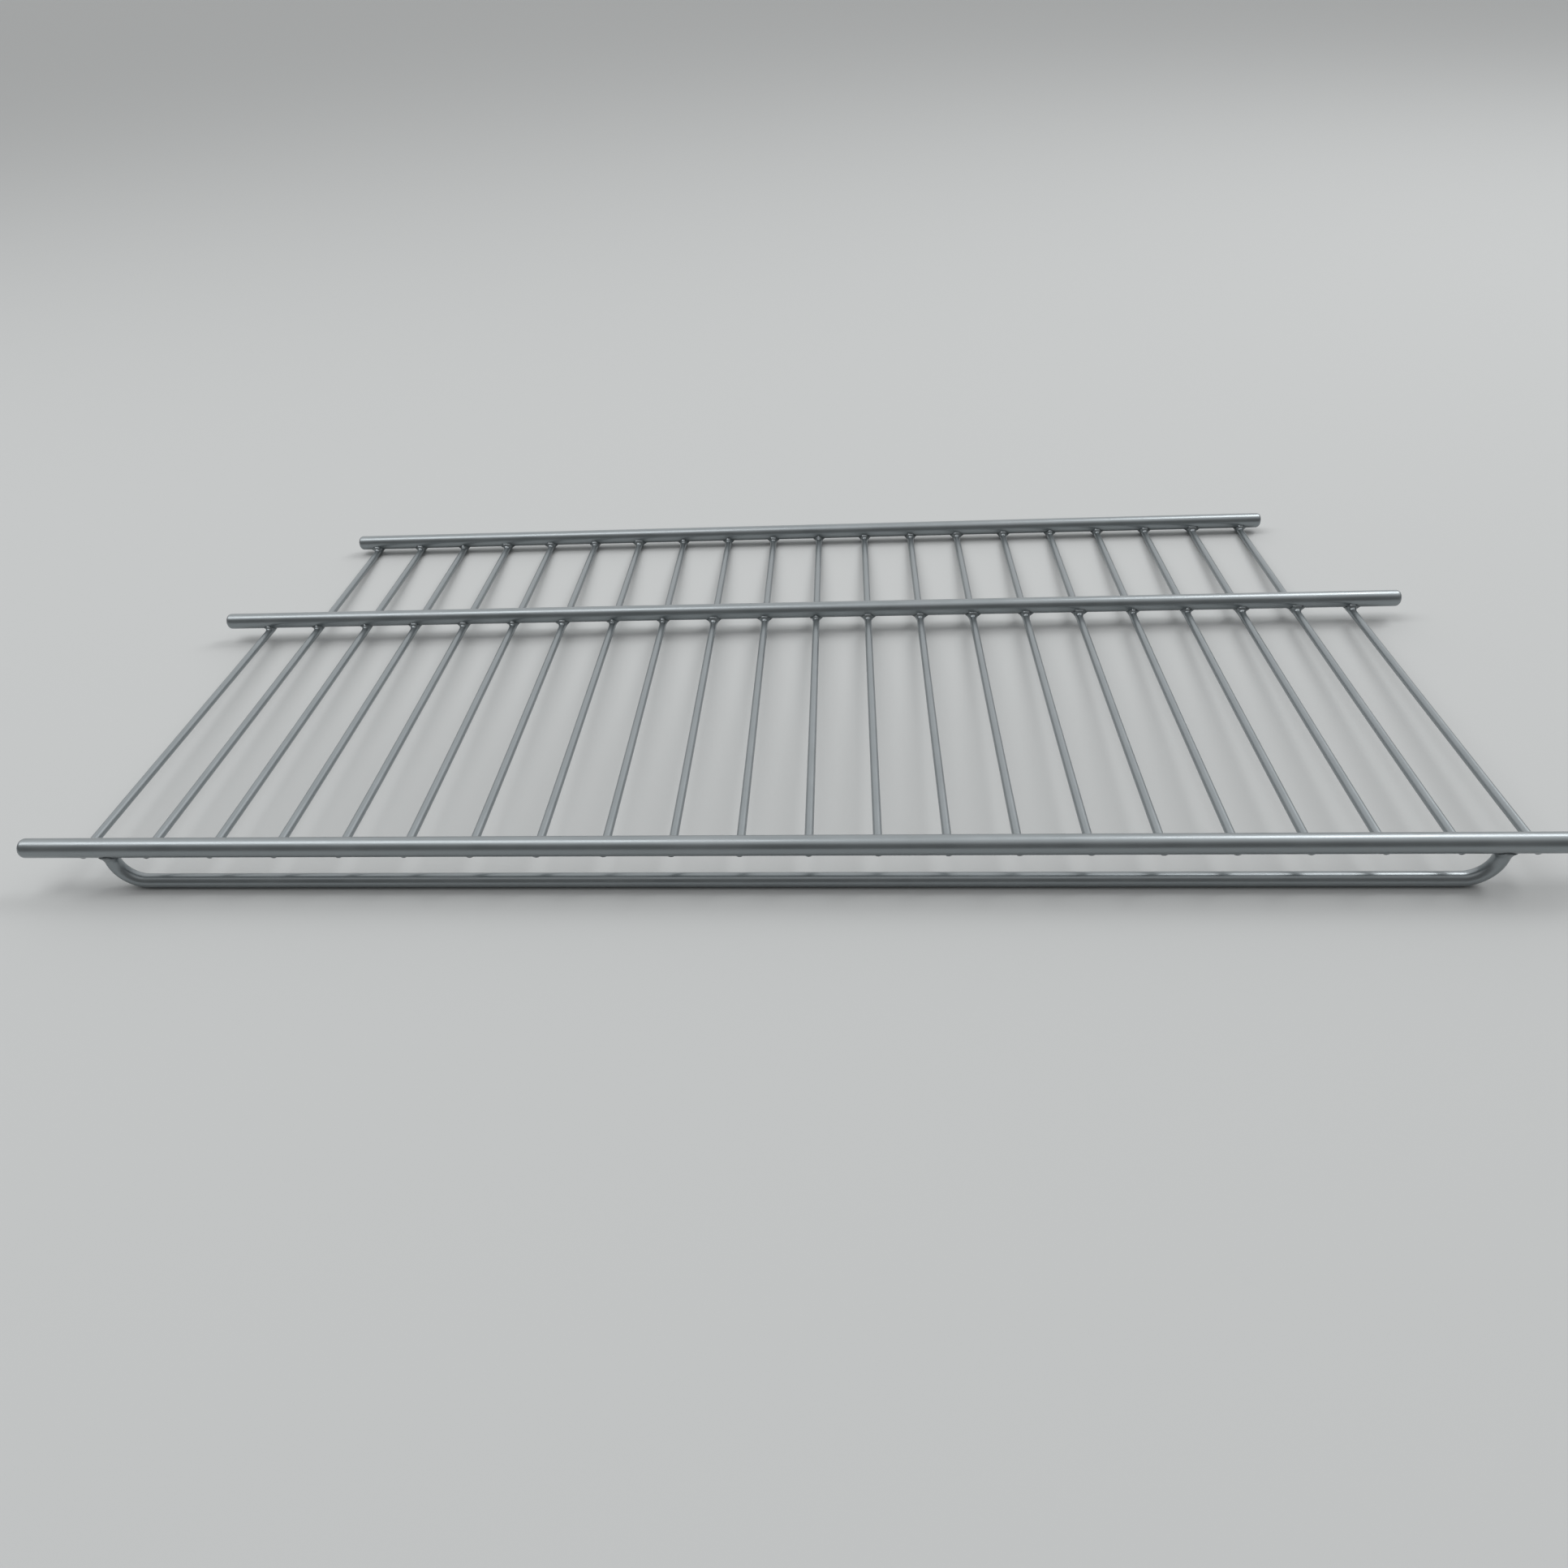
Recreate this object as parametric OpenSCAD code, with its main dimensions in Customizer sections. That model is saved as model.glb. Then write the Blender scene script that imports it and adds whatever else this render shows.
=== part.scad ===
// Refrigerator shelf: a flat grid of thin parallel wires welded under three thick cross bars,
// with a bent rail on two legs below the front bar. X runs along the bars, Y from front to back.

/* [Cross bars] */
// Diameter of the three cross bars, over their coating
bar_d = 6.3; // [5:0.1:8]
// Length of the front and the middle bar, from end to end
wide_bar_len = 477; // [420:1:540]
// Length of the front and the middle bar that stands out past the outermost wires at each side
wide_bar_overhang = 18; // [12:0.5:24]
// Length of the back bar that stands out past its outermost wires at each side
back_bar_overhang = 8.5; // [5:0.5:14]
// Radius on the rim of each bar's cut ends
bar_end_round = 1.6; // [0.5:0.1:2.2]
// Distance from the front bar's axis to the middle bar's axis
middle_bar_y = 152; // [110:1:190]
// Distance from the front bar's axis to the back bar's axis
back_bar_y = 230; // [210:1:320]

/* [Wires] */
// Diameter of a wire, over its coating
wire_d = 2.8; // [2:0.1:3.6]
// Number of wires between the front and the middle bar
wire_count = 22; // [12:1:26]
// Number of wires at each side that stop at the middle bar
short_wires = 1; // [1:1:3]
// Radius on the rim of each wire's cut ends
wire_end_round = 0.5; // [0.2:0.1:0.9]
// Depth that each weld presses a wire into a bar
wire_set_down = 0.7; // [0.4:0.05:1]
// Distance that the wires' front ends stop short of the front bar's axis
front_end_short = 1; // [0.4:0.1:1.2]
// Distance that the wires' rear ends run past the axis of the bar they end under
rear_end_past = 1.5; // [0.5:0.1:3]

/* [Front rail] */
// Diameter of the rail, over its coating
rail_d = 4.6; // [3.5:0.1:5.5]
// Distance from the front bar's axis down to the rail's axis
rail_drop = 13.5; // [12.5:0.5:30]
// Bend radius of the rail's corners, to the middle of the rod
rail_bend_r = 9; // [5:0.5:9.5]

/* [Hidden] */
$fn = 64;
// Names of the wires' nodes, such as wire_01
function wire_name(i) = str("wire_", i < 10 ? "0" : "", i);

// Spacing of the wires, from the length that the bars leave between their overhangs
wire_pitch = (wide_bar_len - 2 * wide_bar_overhang) / (wire_count - 1);
outer_wire_x = wide_bar_len / 2 - wide_bar_overhang;
back_bar_len = 2 * (outer_wire_x - short_wires * wire_pitch + back_bar_overhang);
// The rail's legs stand midway between the two outermost wires at each side
leg_x = outer_wire_x - wire_pitch / 2;
// Places of the bars along Y, about the middle of the shelf
front_y = -back_bar_y / 2;
middle_y = front_y + middle_bar_y;
back_y = back_bar_y / 2;
// Heights of the rods' axes, with the rail's underside at zero
rail_z = rail_d / 2;
bar_z = rail_z + rail_drop;
wire_z = bar_z - (bar_d + wire_d) / 2 + wire_set_down;

function wire_x(i) = -outer_wire_x + (i - 1) * wire_pitch;
function is_short(i) = i <= short_wires || i > wire_count - short_wires;
function wire_last_y(i) = is_short(i) ? middle_y : back_y;

// A rod that stands on Z from zero up to its length, with rounded rims at both cut ends
module cut_rod(d, len, end_round) {
    rotate_extrude()
        intersection() {
            square([d / 2, len]);
            union() {
                square([d / 2 - end_round, len]);
                translate([0, end_round]) square([d / 2, len - 2 * end_round]);
                for (z = [end_round, len - end_round])
                    translate([d / 2 - end_round, z]) circle(r = end_round);
            }
        }
}

// A cross bar of a given length, centred on X, with its axis at a given Y
module cross_bar(len, y) {
    color("#9ba4a7")
        translate([-len / 2, y, bar_z]) rotate([0, 90, 0]) cut_rod(bar_d, len, bar_end_round);
}

module front_bar() {
    cross_bar(wide_bar_len, front_y);
}

module middle_bar() {
    cross_bar(wide_bar_len, middle_y);
}

module back_bar() {
    cross_bar(back_bar_len, back_y);
}

// The space that a bar takes up, from side to side, for cutting the seats of what is welded to it
module bar_seat(y) {
    translate([-wide_bar_len / 2, y, bar_z]) rotate([0, 90, 0]) cylinder(d = bar_d, h = wide_bar_len);
}

// A wire that runs back from the front bar, pressed into the underside of each bar that it crosses
module wire(i) {
    start_y = front_y + front_end_short;
    end_y = wire_last_y(i) + rear_end_past;
    color("#8c9598")
        difference() {
            translate([wire_x(i), end_y, wire_z])
                rotate([90, 0, 0])
                    cut_rod(wire_d, end_y - start_y, wire_end_round);
            for (y = is_short(i) ? [front_y, middle_y] : [front_y, middle_y, back_y])
                bar_seat(y);
        }
}

// One end of the rail: a leg that rises to the front bar, and the bend that turns it along the bar
module rail_end() {
    translate([leg_x, front_y, rail_z + rail_bend_r])
        cylinder(d = rail_d, h = rail_drop - rail_bend_r);
    translate([leg_x - rail_bend_r, front_y, rail_z + rail_bend_r])
        rotate([90, 0, 0])
            rotate_extrude(angle = -90)
                translate([rail_bend_r, 0]) circle(d = rail_d);
}

// The rail: one rod bent up at both ends, whose legs are shaped to the front bar's underside
module front_rail() {
    straight_x = leg_x - rail_bend_r;
    color("#9ba4a7")
        difference() {
            union() {
                translate([-straight_x, front_y, rail_z])
                    rotate([0, 90, 0])
                        cylinder(d = rail_d, h = 2 * straight_x);
                rail_end();
                mirror([1, 0, 0]) rail_end();
            }
            bar_seat(front_y);
        }
}

front_bar();
middle_bar();
back_bar();
front_rail();
for (i = [1 : wire_count])
    wire(i);
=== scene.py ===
import math
import random

import bmesh
import bpy
from bpy.props import FloatProperty, FloatVectorProperty, IntProperty, PointerProperty
from bpy.types import Operator, Panel, PropertyGroup
from mathutils import Matrix, Vector


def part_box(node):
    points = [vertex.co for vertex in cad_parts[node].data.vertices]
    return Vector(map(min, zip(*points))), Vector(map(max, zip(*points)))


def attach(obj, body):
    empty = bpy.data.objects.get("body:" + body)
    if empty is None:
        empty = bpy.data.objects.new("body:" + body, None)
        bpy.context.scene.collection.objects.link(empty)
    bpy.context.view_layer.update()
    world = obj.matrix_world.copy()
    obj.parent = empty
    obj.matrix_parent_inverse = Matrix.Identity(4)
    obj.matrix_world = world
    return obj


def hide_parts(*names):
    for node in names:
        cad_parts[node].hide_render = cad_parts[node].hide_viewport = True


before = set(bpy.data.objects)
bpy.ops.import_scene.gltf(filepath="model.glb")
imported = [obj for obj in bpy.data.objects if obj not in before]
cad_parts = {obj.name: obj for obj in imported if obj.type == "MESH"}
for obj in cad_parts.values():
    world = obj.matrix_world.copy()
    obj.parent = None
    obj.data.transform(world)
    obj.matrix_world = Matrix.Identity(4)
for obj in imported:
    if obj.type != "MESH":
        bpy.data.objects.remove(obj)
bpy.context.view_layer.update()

bl_info = {
    "name": "Refrigerator Shelf",
    "version": (1, 0, 0),
    "blender": (4, 5, 0),
    "location": "3D View > Sidebar > Wire Shelf",
    "description": "Models a welded wire shelf for a refrigerator, its coating and a small studio",
    "category": "Add Mesh",
}

MM = 0.001
BARS = ("front_bar", "middle_bar", "back_bar")
WIRES = sorted(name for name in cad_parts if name.startswith("wire_"))
TABLE_IMAGE_PX = 1932


def linear(hex_code):
    """Turns an sRGB hex colour into the linear red, green and blue that Blender works in."""
    parts = [int(hex_code[i:i + 2], 16) / 255 for i in (1, 3, 5)]
    return tuple(c / 12.92 if c <= 0.04045 else ((c + 0.055) / 1.055) ** 2.4 for c in parts)


def centre(node):
    """Middle of a CAD node's box."""
    low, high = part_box(node)
    return (low + high) / 2


class ShelfRods(PropertyGroup):
    bar_end_round: FloatProperty(
        name="Bar end radius", description="Radius on the rim of a cross bar's cut ends",
        default=1.6 * MM, min=0.0, unit="LENGTH")
    wire_diameter: FloatProperty(
        name="Wire diameter", description="Thickness of a thin wire, over its coating",
        default=2.8 * MM, min=0.0, unit="LENGTH")
    wire_end_round: FloatProperty(
        name="Wire end radius", description="Radius on the rim of a wire's cut ends",
        default=0.5 * MM, min=0.0, unit="LENGTH")
    rail_diameter: FloatProperty(
        name="Rail diameter", description="Thickness of the bent rail below the front bar",
        default=4.6 * MM, min=0.0, unit="LENGTH")
    rail_bend: FloatProperty(
        name="Rail bend radius", description="Radius of the rail's two corners, to the middle of the rod",
        default=9 * MM, min=0.0, unit="LENGTH")


class ShelfWelds(PropertyGroup):
    web_radius: FloatProperty(
        name="Web radius", description="Radius of the hollow fillet where a wire meets a bar",
        default=2.3 * MM, min=0.0, unit="LENGTH")
    web_spread: FloatProperty(
        name="Web variation", description="Share by which the fillets differ from weld to weld",
        default=0.2, min=0.0, max=0.9, subtype="FACTOR")
    leg_web_radius: FloatProperty(
        name="Leg web radius", description="Radius of the fillet where the rail's leg meets the bar",
        default=2.0 * MM, min=0.0, unit="LENGTH")
    sink: FloatProperty(
        name="Weld depth", description="Depth to which a wire's skin runs on inside the bar",
        default=0.1 * MM, min=0.0, unit="LENGTH")


class ShelfCoating(PropertyGroup):
    light_tone: FloatVectorProperty(
        name="Light tone", description="Colour of the coating where its flakes lie flat",
        default=linear("#999fa2"), subtype="COLOR", size=3, min=0.0, max=1.0)
    dark_tone: FloatVectorProperty(
        name="Dark tone", description="Colour of the coating where its flakes stand up",
        default=linear("#8b9295"), subtype="COLOR", size=3, min=0.0, max=1.0)
    wire_shade: FloatProperty(
        name="Wire shade", description="Brightness of the wires' coating against the bars' coating",
        default=1.0, min=0.0, max=1.0, subtype="FACTOR")
    gloss_low: FloatProperty(
        name="Lowest roughness", description="Roughness of the smoothest places of the coating",
        default=0.3, min=0.0, max=1.0, subtype="FACTOR")
    gloss_high: FloatProperty(
        name="Highest roughness", description="Roughness of the dullest places of the coating",
        default=0.4, min=0.0, max=1.0, subtype="FACTOR")


class ShelfStudio(PropertyGroup):
    floor_tone: FloatVectorProperty(
        name="Floor", description="Colour of the plain floor",
        default=linear("#c6c8c8"), subtype="COLOR", size=3, min=0.0, max=1.0)
    sky_top: FloatProperty(
        name="Ceiling light", description="Strength of the light from above and behind", default=1.1, min=0.0)
    sky_side: FloatProperty(
        name="Wall light", description="Strength of the light from the front", default=0.2, min=0.0)
    box_light: FloatProperty(
        name="Soft box power", description="Power of each of the two soft boxes",
        default=6.0, min=0.0, unit="POWER")


def add_node(tree, kind, settings=None, inputs=None, links=None):
    """Adds one node: settings are its own options, inputs its values and links its incoming sockets."""
    node = tree.nodes.new(kind)
    for name, value in (settings or {}).items():
        setattr(node, name, value)
    for name, value in (inputs or {}).items():
        node.inputs[name].default_value = value
    for name, socket in (links or {}).items():
        tree.links.new(socket, node.inputs[name])
    return node


def silver_coating(name, shade):
    """Silver-grey epoxy coating with metal flake, sprayed as powder on steel rod and fused in an oven.
    Melting leaves a glossy skin with faint orange peel, soft cloudy patches of flake and a fine sparkle."""
    coating = bpy.context.scene.shelf_coating
    material = bpy.data.materials.new(name)
    material.use_nodes = True
    tree = material.node_tree
    tree.nodes.clear()
    place = add_node(tree, "ShaderNodeTexCoord")
    cloud_mm, peel_mm, flake_mm = 14, 2.2, 0.35
    cloud = add_node(tree, "ShaderNodeTexNoise", inputs={"Scale": 1 / (cloud_mm * MM), "Detail": 3},
                     links={"Vector": place.outputs["Object"]})
    peel = add_node(tree, "ShaderNodeTexNoise", inputs={"Scale": 1 / (peel_mm * MM), "Detail": 1},
                    links={"Vector": place.outputs["Object"]})
    flake = add_node(tree, "ShaderNodeTexVoronoi", inputs={"Scale": 1 / (flake_mm * MM)},
                     links={"Vector": place.outputs["Object"]})
    tone = add_node(tree, "ShaderNodeMix", {"data_type": "RGBA"}, links={0: cloud.outputs["Fac"]})
    tone.inputs[6].default_value = [shade * c for c in coating.dark_tone] + [1]
    tone.inputs[7].default_value = [shade * c for c in coating.light_tone] + [1]
    gloss = add_node(tree, "ShaderNodeMapRange",
                     inputs={"From Min": 0.3, "From Max": 0.7,
                             "To Min": coating.gloss_low, "To Max": coating.gloss_high},
                     links={"Value": cloud.outputs["Fac"]})
    grain = add_node(tree, "ShaderNodeBump", inputs={"Strength": 0.1, "Distance": 0.004 * MM},
                     links={"Height": flake.outputs["Distance"]})
    skin = add_node(tree, "ShaderNodeBump", inputs={"Strength": 0.4, "Distance": 0.01 * MM},
                    links={"Height": peel.outputs["Fac"], "Normal": grain.outputs["Normal"]})
    shader = add_node(tree, "ShaderNodeBsdfPrincipled",
                      inputs={"Metallic": 0.85, "Coat Weight": 0.25, "Coat Roughness": 0.12},
                      links={"Base Color": tone.outputs[2], "Roughness": gloss.outputs["Result"],
                             "Normal": skin.outputs["Normal"]})
    add_node(tree, "ShaderNodeOutputMaterial", links={"Surface": shader.outputs["BSDF"]})
    return material


def finish_piece(shape, name, node, material):
    """Turns a bmesh into a smooth-shaded piece that stands for a CAD node."""
    bmesh.ops.recalc_face_normals(shape, faces=shape.faces[:])
    mesh = bpy.data.meshes.new(name)
    shape.to_mesh(mesh)
    shape.free()
    mesh.shade_smooth()
    mesh.materials.append(material)
    piece = bpy.data.objects.new(name, mesh)
    bpy.context.scene.collection.objects.link(piece)
    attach(piece, "root")
    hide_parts(node)
    return piece


def ring(shape, radius, segments, place):
    """Starts a rod from one round of edges, placed by a matrix."""
    made = bmesh.ops.create_circle(shape, segments=segments, radius=radius, matrix=place)
    return list({edge for vert in made["verts"] for edge in vert.link_edges})


def extrude_ring(shape, edges, step):
    """Draws a round of edges out by one step and returns the new round."""
    made = bmesh.ops.extrude_edge_only(shape, edges=edges)["geom"]
    bmesh.ops.translate(shape, vec=step, verts=[g for g in made if isinstance(g, bmesh.types.BMVert)])
    return [g for g in made if isinstance(g, bmesh.types.BMEdge)
            and all(len(v.link_faces) <= 2 for v in g.verts) and len(g.link_faces) == 1]


def close_ends(shape):
    """Closes the open ends of a rod with one face each and returns those faces."""
    open_edges = [edge for edge in shape.edges if len(edge.link_faces) == 1]
    return bmesh.ops.holes_fill(shape, edges=open_edges, sides=0)["faces"]


def round_rims(shape, caps, radius, segments):
    """Rounds the rim of each end face."""
    rims = list({edge for face in caps for edge in face.edges})
    bmesh.ops.bevel(shape, geom=rims, offset=radius, offset_type="OFFSET", segments=segments,
                    profile=0.5, affect="EDGES", material=-1)


def fillet_distance(to_rod, to_bar, radius):
    """Distance to a rod and a bar that are joined by a hollow fillet of the given radius."""
    near_rod, near_bar = max(radius - to_rod, 0.0), max(radius - to_bar, 0.0)
    return max(radius, min(to_rod, to_bar)) - math.hypot(near_rod, near_bar)


def bar_depth(point, bar):
    """Distance from a point to the surface of a cross bar, negative inside the bar."""
    return math.hypot(point.y - bar["y"], point.z - bar["z"]) - bar["radius"]


def swell_to_bar(vert, axis_point, rod_radius, bar, web, sink):
    """Moves one point of a rod's skin out to the weld's web, or on into the bar that it is welded to."""
    outward = vert.co - axis_point
    start = outward.length
    if start < 0.2 * rod_radius:
        return
    outward /= start
    if fillet_distance(0.0, bar_depth(axis_point + outward * rod_radius, bar), web) > -1e-7:
        return
    step = 0.04 * MM
    reach = rod_radius
    while reach < rod_radius + 4 * MM:
        depth = bar_depth(axis_point + outward * reach, bar)
        if fillet_distance(reach - rod_radius, depth + 0.02 * MM, web) >= 0:
            break
        if depth < -sink:
            break
        reach += step
    if bar_depth(axis_point + outward * rod_radius, bar) < -sink:
        reach = rod_radius
        while reach > 0.2 * rod_radius and bar_depth(axis_point + outward * reach, bar) < -sink:
            reach -= step
    vert.co = axis_point + outward * (reach - (rod_radius - start) if start < rod_radius else reach)


def bar_facts(node):
    """Place and radius of a cross bar, from its CAD node."""
    low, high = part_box(node)
    return {"y": centre(node).y, "z": centre(node).z, "radius": (high.z - low.z) / 2}


class SHELF_OT_cross_bars(Operator):
    """Models the three thick cross bars, with rounded cut ends"""
    bl_idname = "shelf.cross_bars"
    bl_label = "Cross bars"

    def execute(self, context):
        rods = context.scene.shelf_rods
        material = silver_coating("silver_epoxy_coating_on_bars", 1.0)
        for node in BARS:
            low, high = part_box(node)
            bar = bar_facts(node)
            shape = bmesh.new()
            start = Matrix.Translation((low.x, bar["y"], bar["z"])) @ Matrix.Rotation(math.pi / 2, 4, "Y")
            edges = ring(shape, bar["radius"], 48, start)
            extrude_ring(shape, edges, Vector((high.x - low.x, 0, 0)))
            round_rims(shape, close_ends(shape), rods.bar_end_round, 6)
            finish_piece(shape, node.replace("_bar", "") + "_cross_bar", node, material)
        return {"FINISHED"}


def stations(first, last, bars, close, step):
    """Places along a rod where a ring of points is set: close together near the bars, none between."""
    places = {first, last}
    for bar in bars:
        count = round(2 * close / step)
        for i in range(count + 1):
            y = bar["y"] - close + i * step
            if first < y < last:
                places.add(y)
    return sorted(places)


class SHELF_OT_wires(Operator):
    """Models the thin wires and the webs of their welds under the bars"""
    bl_idname = "shelf.wires"
    bl_label = "Wires"

    def execute(self, context):
        rods, welds = context.scene.shelf_rods, context.scene.shelf_welds
        material = silver_coating("silver_epoxy_coating_on_wires", context.scene.shelf_coating.wire_shade)
        chance = random.Random(7)
        radius = rods.wire_diameter / 2
        bars = [bar_facts(node) for node in BARS]
        for node in WIRES:
            low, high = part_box(node)
            x, z = centre(node).x, low.z + radius
            crossed = [bar for bar in bars if low.y < bar["y"] + 0.004 and bar["y"] < high.y]
            webs = [welds.web_radius * (1 + welds.web_spread * chance.uniform(-1, 1)) for bar in crossed]
            shape = bmesh.new()
            places = stations(low.y, high.y, crossed, 6 * MM, 0.3 * MM)
            start = Matrix.Translation((x, places[0], z)) @ Matrix.Rotation(math.pi / 2, 4, "X")
            edges = ring(shape, radius, 32, start)
            for before, after in zip(places, places[1:]):
                edges = extrude_ring(shape, edges, Vector((0, after - before, 0)))
            close_ends(shape)
            for vert in shape.verts:
                axis_point = Vector((x, vert.co.y, z))
                for bar, web in zip(crossed, webs):
                    if abs(vert.co.y - bar["y"]) < 6 * MM:
                        swell_to_bar(vert, axis_point, radius, bar, web, welds.sink)
            finish_piece(shape, node.replace("wire_", "coated_wire_"), node, material)
        return {"FINISHED"}


class SHELF_OT_front_rail(Operator):
    """Models the bent rail below the front bar, with its two legs"""
    bl_idname = "shelf.front_rail"
    bl_label = "Front rail"

    def execute(self, context):
        rods, welds = context.scene.shelf_rods, context.scene.shelf_welds
        material = silver_coating("silver_epoxy_coating_on_rail", 1.0)
        low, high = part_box("front_rail")
        bar = bar_facts("front_bar")
        radius, bend = rods.rail_diameter / 2, rods.rail_bend
        leg_x = (high.x - low.x) / 2 - radius
        middle_x = centre("front_rail").x
        rail_z = low.z + radius
        top = bar["z"] - 0.3 * bar["radius"]
        leg_foot = rail_z + bend
        shape = bmesh.new()
        edges = ring(shape, radius, 40, Matrix.Translation((middle_x - leg_x, bar["y"], top)))
        rings = 24
        for _ in range(rings):
            edges = extrude_ring(shape, edges, Vector((0, 0, (leg_foot - top) / rings)))
        for side in (-1, 1):
            made = bmesh.ops.spin(
                shape, geom=edges, cent=(middle_x + side * (leg_x - bend), bar["y"], leg_foot),
                axis=(0, -1, 0), angle=math.pi / 2, steps=20)
            edges = [g for g in made["geom_last"] if isinstance(g, bmesh.types.BMEdge)]
            if side < 0:
                edges = extrude_ring(shape, edges, Vector((2 * (leg_x - bend), 0, 0)))
        for _ in range(rings):
            edges = extrude_ring(shape, edges, Vector((0, 0, (top - leg_foot) / rings)))
        close_ends(shape)
        for vert in shape.verts:
            if vert.co.z > leg_foot:
                side = 1 if vert.co.x > middle_x else -1
                axis_point = Vector((middle_x + side * leg_x, bar["y"], vert.co.z))
                swell_to_bar(vert, axis_point, radius, bar, welds.leg_web_radius, welds.sink)
        finish_piece(shape, "bent_front_rail", "front_rail", material)
        return {"FINISHED"}


class SHELF_OT_studio(Operator):
    """Sets up the plain floor, the soft light and the camera at the photograph's angle"""
    bl_idname = "shelf.studio"
    bl_label = "Studio"

    def execute(self, context):
        studio = context.scene.shelf_studio
        self.lay_floor(studio)
        self.light(context, studio)
        self.place_camera(context)
        return {"FINISHED"}

    def lay_floor(self, studio):
        """Lays a wide floor that touches the rail in front and the wires' ends at the back."""
        rail_low, rail_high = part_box("front_rail")
        front = Vector((0, centre("front_rail").y, rail_low.z))
        wire_low, wire_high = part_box(WIRES[len(WIRES) // 2])
        slope = math.atan2(wire_low.z - front.z, wire_high.y - front.y)
        shape = bmesh.new()
        bmesh.ops.create_grid(shape, x_segments=1, y_segments=1, size=15,
                              matrix=Matrix.Translation(front) @ Matrix.Rotation(slope, 4, "X"))
        mesh = bpy.data.meshes.new("studio_floor")
        shape.to_mesh(mesh)
        shape.free()
        floor = bpy.data.objects.new("studio_floor", mesh)
        bpy.context.scene.collection.objects.link(floor)
        material = bpy.data.materials.new("matt_painted_floor")
        material.use_nodes = True
        shader = material.node_tree.nodes["Principled BSDF"]
        shader.inputs["Base Color"].default_value = list(studio.floor_tone) + [1]
        shader.inputs["Roughness"].default_value = 0.9
        shader.inputs["Specular IOR Level"].default_value = 0.1
        mesh.materials.append(material)

    def light(self, context, studio):
        """Lights the shelf from a pale room, brighter above, and from two soft boxes."""
        world = bpy.data.worlds.new("pale_room")
        context.scene.world = world
        world.use_nodes = True
        tree = world.node_tree
        tree.nodes.clear()
        place = add_node(tree, "ShaderNodeTexCoord")
        facing = add_node(tree, "ShaderNodeVectorMath", {"operation": "DOT_PRODUCT"},
                          links={0: place.outputs["Generated"]})
        facing.inputs[1].default_value = (0, 0.5, 0.866)
        height = add_node(tree, "ShaderNodeMapRange", {"interpolation_type": "SMOOTHSTEP"},
                          inputs={"From Min": 0.2, "From Max": 0.75,
                                  "To Min": studio.sky_side, "To Max": studio.sky_top},
                          links={"Value": facing.outputs["Value"]})
        room = add_node(tree, "ShaderNodeBackground", links={"Strength": height.outputs["Result"]})
        add_node(tree, "ShaderNodeOutputWorld", links={"Surface": room.outputs["Background"]})
        for name, place, size in (("left", Vector((-0.75, 0.0, 1.3)), (0.5, 1.5)),
                                  ("right", Vector((0.9, 0.55, 1.2)), (0.5, 0.8))):
            lamp = bpy.data.lights.new("soft_box_" + name, "AREA")
            lamp.shape = "RECTANGLE"
            lamp.size, lamp.size_y = size
            lamp.energy = studio.box_light
            box = bpy.data.objects.new(lamp.name, lamp)
            box.location = place
            box.rotation_euler = (-place).to_track_quat("-Z", "Y").to_euler()
            context.scene.collection.objects.link(box)

    def place_camera(self, context):
        """Stands the camera where the photograph was taken from, looking down at the shelf."""
        yaw, pitch, roll = math.radians(-5.59), math.radians(35.84), math.radians(-3.74)
        ahead = Vector((math.sin(yaw) * math.cos(pitch), math.cos(yaw) * math.cos(pitch), -math.sin(pitch)))
        level_right = Vector((math.cos(yaw), -math.sin(yaw), 0))
        level_up = level_right.cross(ahead)
        right = math.cos(roll) * level_right + math.sin(roll) * level_up
        up = math.cos(roll) * level_up - math.sin(roll) * level_right
        camera = bpy.data.cameras.new("photograph_camera")
        focal_px, centre_px = 1400.4, 930.4
        camera.sensor_width = 36
        camera.lens = camera.sensor_width * focal_px / TABLE_IMAGE_PX
        camera.shift_x = (TABLE_IMAGE_PX / 2 - centre_px) / TABLE_IMAGE_PX
        stand = bpy.data.objects.new(camera.name, camera)
        turn = Matrix((right, up, -ahead)).transposed().to_4x4()
        stand.matrix_world = Matrix.Translation((21.7 * MM, -379.6 * MM, 230.65 * MM)) @ turn
        context.scene.collection.objects.link(stand)
        context.scene.camera = stand
        context.scene.view_settings.view_transform = "Standard"


class SHELF_PT_parts(Panel):
    """Lists the shelf's sizes, colours and pieces"""
    bl_idname = "SHELF_PT_parts"
    bl_label = "Refrigerator Shelf"
    bl_space_type = "VIEW_3D"
    bl_region_type = "UI"
    bl_category = "Wire Shelf"

    def draw(self, context):
        for title, name, group in GROUPS:
            box = self.layout.box()
            box.label(text=title)
            for prop in group.__annotations__:
                box.prop(getattr(context.scene, name), prop)
        for operator in OPERATORS:
            self.layout.operator(operator.bl_idname)


GROUPS = (
    ("Rods", "shelf_rods", ShelfRods),
    ("Welds", "shelf_welds", ShelfWelds),
    ("Coating", "shelf_coating", ShelfCoating),
    ("Studio", "shelf_studio", ShelfStudio),
)
OPERATORS = (SHELF_OT_cross_bars, SHELF_OT_wires, SHELF_OT_front_rail, SHELF_OT_studio)


def register():
    for _, name, group in GROUPS:
        bpy.utils.register_class(group)
        setattr(bpy.types.Scene, name, PointerProperty(type=group))
    for part in OPERATORS + (SHELF_PT_parts,):
        bpy.utils.register_class(part)


def unregister():
    for part in reversed(OPERATORS + (SHELF_PT_parts,)):
        bpy.utils.unregister_class(part)
    for _, name, group in reversed(GROUPS):
        delattr(bpy.types.Scene, name)
        bpy.utils.unregister_class(group)


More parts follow.
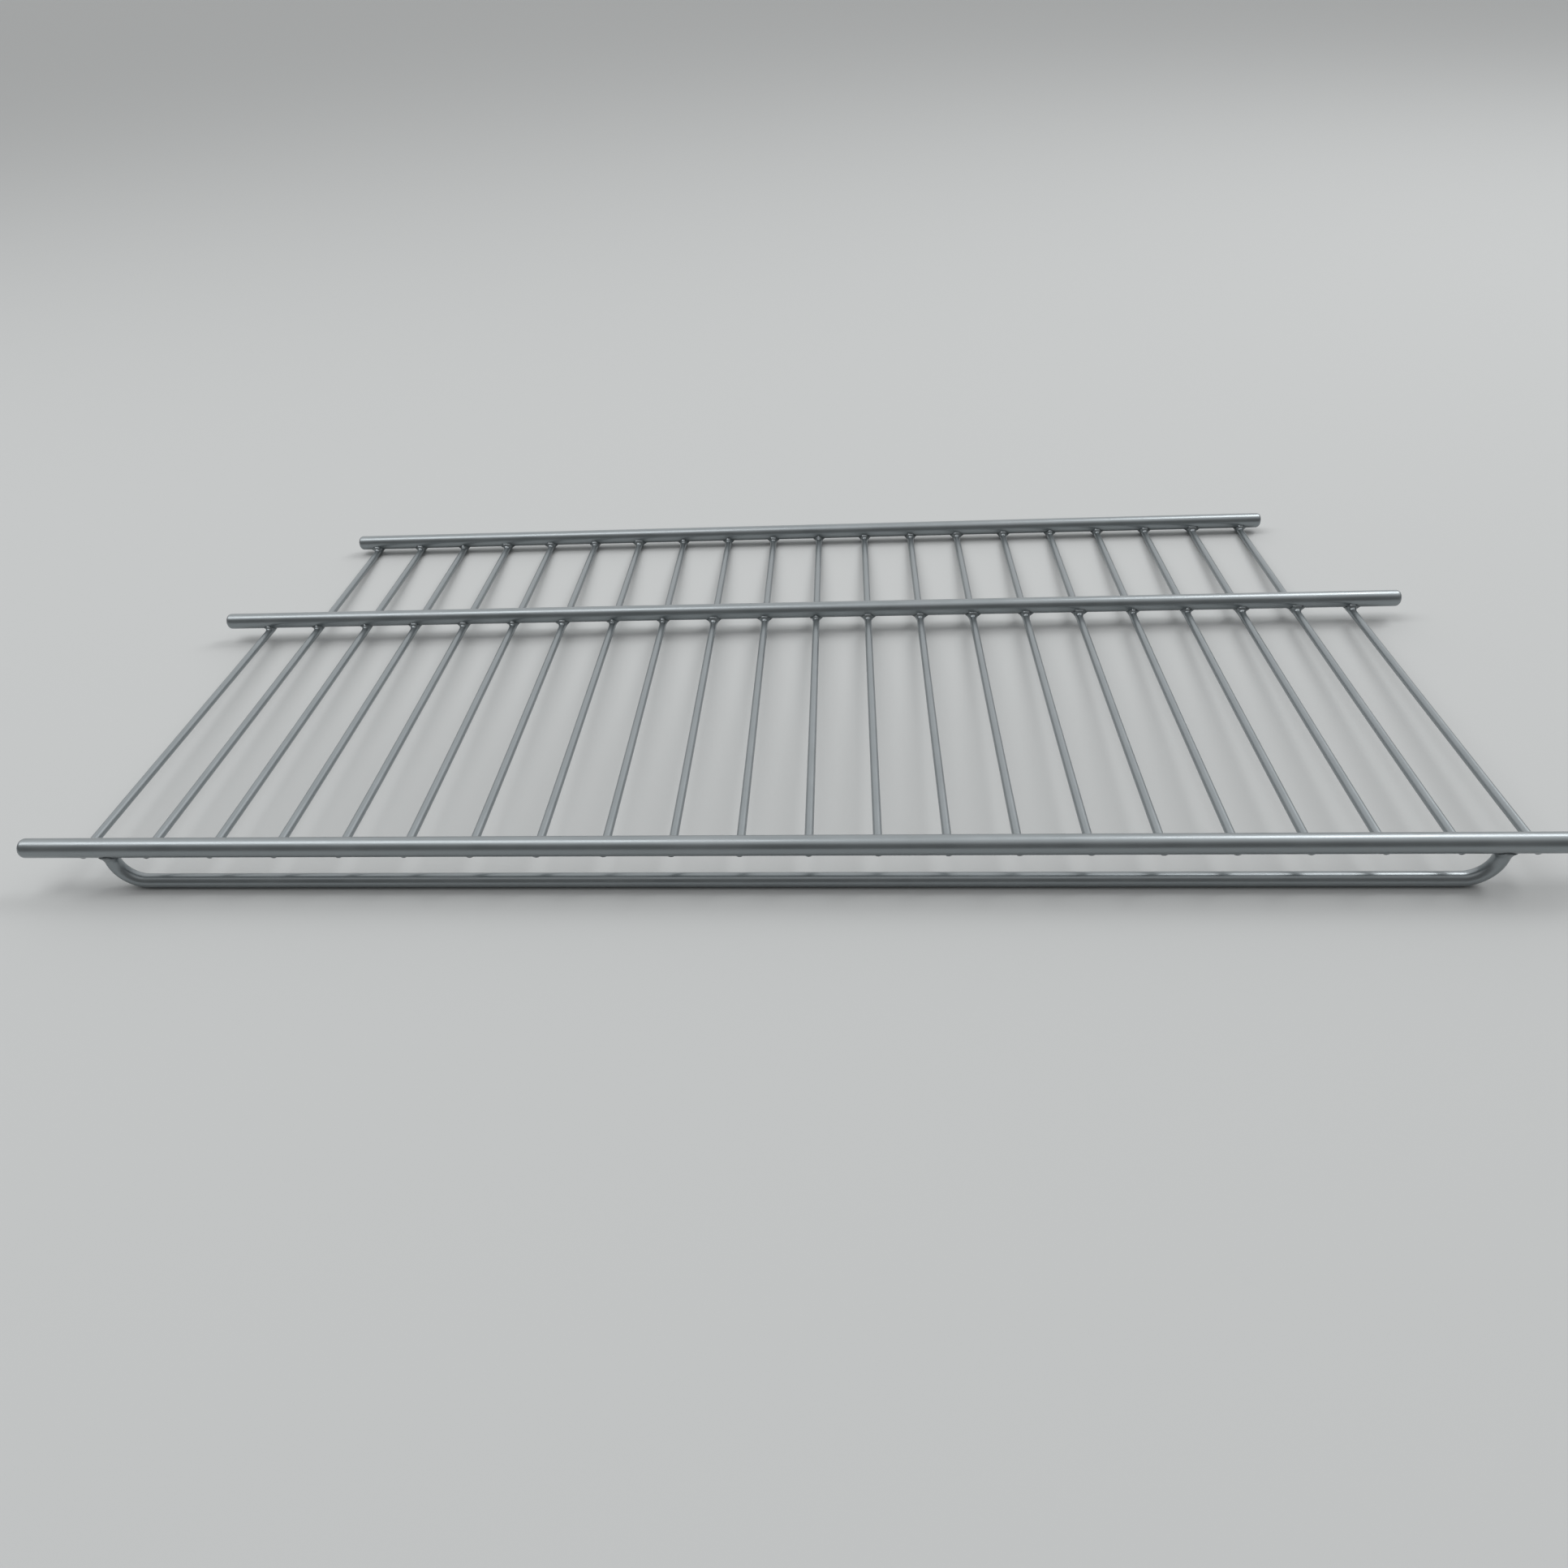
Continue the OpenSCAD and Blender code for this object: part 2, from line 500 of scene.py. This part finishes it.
def main():
    """Builds the shelf piece by piece."""
    register()
    bpy.ops.shelf.cross_bars()
    bpy.ops.shelf.wires()
    bpy.ops.shelf.front_rail()
    bpy.ops.shelf.studio()


if __name__ == "__main__":
    main()
